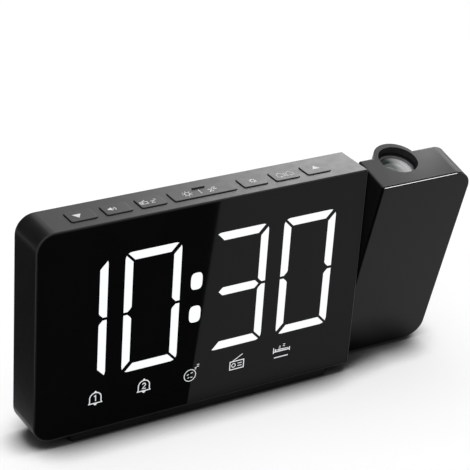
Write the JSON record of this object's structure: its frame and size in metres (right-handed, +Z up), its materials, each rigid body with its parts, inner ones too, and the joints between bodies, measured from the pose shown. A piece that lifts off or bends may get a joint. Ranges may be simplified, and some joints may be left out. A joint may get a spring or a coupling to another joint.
{
  "type": "projection alarm clock",
  "caption": "Flat digital alarm clock on a foot strip, with top buttons, a glossy display front and a projector arm that tilts about a cross shaft at its right end.",
  "frame": {"origin": "on the table plane, in the rubber sole's lower face, under the middle of the body", "axes": "+X along the width towards the projector arm, +Y from the display to the rear, +Z up"},
  "size_m": [0.1896, 0.0393, 0.0951],
  "materials": {
    "housing_plastic": "satin, fine spark-eroded grain",
    "cap_plastic": "satin",
    "foot_plastic": "satin",
    "sole_rubber": "matte",
    "panel_gloss": "mirror gloss",
    "plate_gloss": "gloss",
    "light_box": "matte",
    "light_guide": "milky",
    "circuit_board": "solder resist",
    "chip_black": "matte",
    "ribbon": "smooth",
    "cable": "matte",
    "screw_steel": "zinc plated",
    "contact_brass": "satin",
    "speaker_metal": "satin",
    "gasket_foam": "foam",
    "socket_steel": "satin",
    "jack_plastic": "satin",
    "plunger_plastic": "satin",
    "barrel_plastic": "matte",
    "ring_plastic": "satin",
    "lens_glass": "polished",
    "lcd_glass": "polished",
    "led_red": "clear epoxy"
  },
  "bodies": {
    "body": {"housing": "housing_plastic", "front_panel": "panel_gloss", "rear_cover": "housing_plastic", "foot": "foot_plastic", "foot_pad": "sole_rubber", "foot_screws": "screw_steel", "button_switches": "chip_black", "button_board": "circuit_board", "display_frame": "light_box", "display_segments": "light_guide", "display_board": "circuit_board", "display_leds": "light_guide", "main_board": "circuit_board", "board_chips": "chip_black", "board_header": "chip_black", "button_ribbon": "ribbon", "board_wires": "cable", "board_screws": "screw_steel", "speaker": "speaker_metal", "speaker_gasket": "gasket_foam", "coin_cell": "screw_steel", "cell_contacts": "contact_brass", "power_board": "circuit_board", "usb_socket": "socket_steel", "dc_jack": "jack_plastic", "cover_screws": "screw_steel", "pivot_bush": "contact_brass", "pivot_cable_tail": "cable"},
    "arm": {"arm_shell": "housing_plastic", "arm_front_plate": "plate_gloss", "pivot_shaft": "screw_steel", "friction_spring": "screw_steel", "stop_washer": "screw_steel", "shaft_clip": "screw_steel", "arm_cable": "cable", "slide_holder": "barrel_plastic", "time_lcd": "lcd_glass", "condenser_lens": "lens_glass", "led_board": "circuit_board", "projection_led": "led_red", "arm_screws": "screw_steel"},
    "focus_ring": {"focus_ring": "ring_plastic"},
    "lens_barrel": {"lens_barrel": "barrel_plastic", "projection_lens": "lens_glass", "lens_ring": "barrel_plastic"},
    "cell_door": {"cell_door": "housing_plastic"},
    "button_down": {"button_down": "cap_plastic", "plunger_down": "plunger_plastic"},
    "button_volume": {"button_volume": "cap_plastic", "plunger_volume": "plunger_plastic"},
    "button_radio_sleep": {"button_radio_sleep": "cap_plastic", "plunger_radio_sleep": "plunger_plastic"},
    "button_snooze_light": {"button_snooze_light": "cap_plastic", "plunger_snooze_light": "plunger_plastic"},
    "button_set": {"button_set": "cap_plastic", "plunger_set": "plunger_plastic"},
    "button_alarm": {"button_alarm": "cap_plastic", "plunger_alarm": "plunger_plastic"},
    "button_up": {"button_up": "cap_plastic", "plunger_up": "plunger_plastic"}
  },
  "joints": [
    {"name": "arm_tilt", "type": "hinge", "parent": "body", "child": "arm", "pos_m": [0.0724, 0.00355, 0.04855], "axis": [1, 0, 0], "range_deg": [-103.5, 76.5]},
    {"name": "focus_turn", "type": "hinge", "parent": "arm", "child": "focus_ring", "pos_m": [0.0899, -0.00147, 0.07758], "axis": [0, -0.2334, 0.9724], "range_deg": [-135, 135]},
    {"name": "lens_focus", "type": "slide", "parent": "arm", "child": "lens_barrel", "axis": [0, -0.2334, 0.9724], "range_m": [-0.0015, 0.0015]},
    {"name": "cell_door_turn", "type": "hinge", "parent": "body", "child": "cell_door", "pos_m": [0.047, 0.00925, 0.0678], "axis": [0, 1, 0], "range_deg": [0, 60]},
    {"name": "press_down", "type": "slide", "parent": "body", "child": "button_down", "axis": [0, 0, -1], "range_m": [0, 0.0006], "stiffness_N_per_m": 1200, "springref_m": -0.0005},
    {"name": "press_volume", "type": "slide", "parent": "body", "child": "button_volume", "axis": [0, 0, -1], "range_m": [0, 0.0006], "stiffness_N_per_m": 1200, "springref_m": -0.0005},
    {"name": "press_radio_sleep", "type": "slide", "parent": "body", "child": "button_radio_sleep", "axis": [0, 0, -1], "range_m": [0, 0.0006], "stiffness_N_per_m": 1200, "springref_m": -0.0005},
    {"name": "press_snooze_light", "type": "slide", "parent": "body", "child": "button_snooze_light", "axis": [0, 0, -1], "range_m": [0, 0.0006], "stiffness_N_per_m": 1200, "springref_m": -0.0005},
    {"name": "press_set", "type": "slide", "parent": "body", "child": "button_set", "axis": [0, 0, -1], "range_m": [0, 0.0006], "stiffness_N_per_m": 1200, "springref_m": -0.0005},
    {"name": "press_alarm", "type": "slide", "parent": "body", "child": "button_alarm", "axis": [0, 0, -1], "range_m": [0, 0.0006], "stiffness_N_per_m": 1200, "springref_m": -0.0005},
    {"name": "press_up", "type": "slide", "parent": "body", "child": "button_up", "axis": [0, 0, -1], "range_m": [0, 0.0006], "stiffness_N_per_m": 1200, "springref_m": -0.0005}
  ],
  "couplings": [
    {"joint": "focus_turn", "follows": "lens_focus", "rad_per_m": -1570.8}
  ]
}
